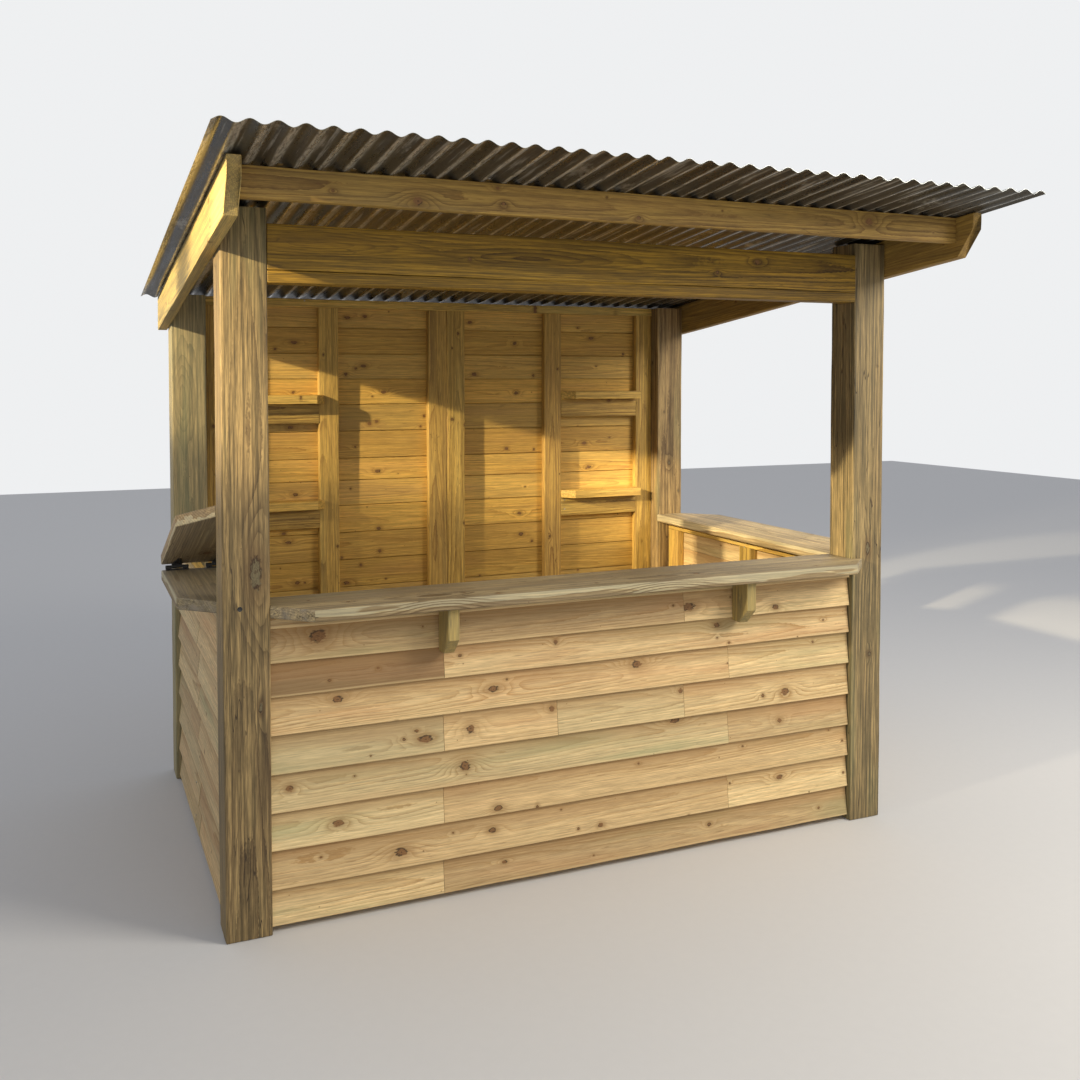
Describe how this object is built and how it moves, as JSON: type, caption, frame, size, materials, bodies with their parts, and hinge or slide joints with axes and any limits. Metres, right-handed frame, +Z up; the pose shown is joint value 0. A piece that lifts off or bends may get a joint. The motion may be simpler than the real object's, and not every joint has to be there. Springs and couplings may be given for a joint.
{
  "type": "outdoor timber bar",
  "caption": "Roofed outdoor timber bar with lapped half walls, plank bar tops, a lifting counter flap over a side door, and shelves on the back wall.",
  "frame": {"origin": "on the ground, at the middle of the overall outline seen from above", "axes": "+X along the front bar from the entry side to the other, +Y from the customer's side to the back wall, +Z up"},
  "size_m": [2.724, 2.3914, 2.3181],
  "materials": {
    "post_timber": "treated, rough sawn",
    "framing_timber": "treated, planed",
    "lapped_siding": "treated, planed",
    "back_boards": "treated, planed",
    "bar_planks": "treated, planed",
    "galvanised_sheet": "galvanised, weathered",
    "black_steel": "satin black"
  },
  "bodies": {
    "bar": {"post_front_left": "post_timber", "post_front_right": "post_timber", "post_back_left": "post_timber", "post_back_right": "post_timber", "rafter_left": "framing_timber", "rafter_right": "framing_timber", "fascia_beam": "framing_timber", "header_plate": "framing_timber", "header_board": "framing_timber", "roof_sheet": "galvanised_sheet", "front_cladding": "lapped_siding", "front_plates": "framing_timber", "front_studs": "framing_timber", "right_cladding": "lapped_siding", "right_plates": "framing_timber", "right_studs": "framing_timber", "left_cladding": "lapped_siding", "left_plates": "framing_timber", "left_studs": "framing_timber", "front_bar_top": "bar_planks", "left_bar_top": "bar_planks", "right_bar_top": "bar_planks", "bracket_left": "framing_timber", "bracket_right": "framing_timber", "flap_hinges_fixed": "black_steel", "door_hinges_fixed": "black_steel", "back_cladding": "back_boards", "back_plates": "framing_timber", "back_studs_left": "framing_timber", "back_studs_right": "framing_timber", "shelf_upper_left": "framing_timber", "shelf_lower_left": "framing_timber", "shelf_upper_right": "framing_timber", "shelf_lower_right": "framing_timber", "shelf_ledgers": "framing_timber"},
    "flap": {"counter_flap": "bar_planks", "flap_hinges_moving": "black_steel"},
    "door": {"door_frame": "framing_timber", "door_cladding": "lapped_siding", "door_hinges_moving": "black_steel"}
  },
  "joints": [
    {"name": "flap_hinge", "type": "hinge", "parent": "bar", "child": "flap", "pos_m": [-1.238, 0.291, 1.024], "axis": [1, 0, 0], "range_deg": [-159.56, 0]},
    {"name": "door_hinge", "type": "hinge", "parent": "bar", "child": "door", "pos_m": [-1.171, 0.291, 0.555], "axis": [0, 0, -1], "range_deg": [0, 120]}
  ]
}
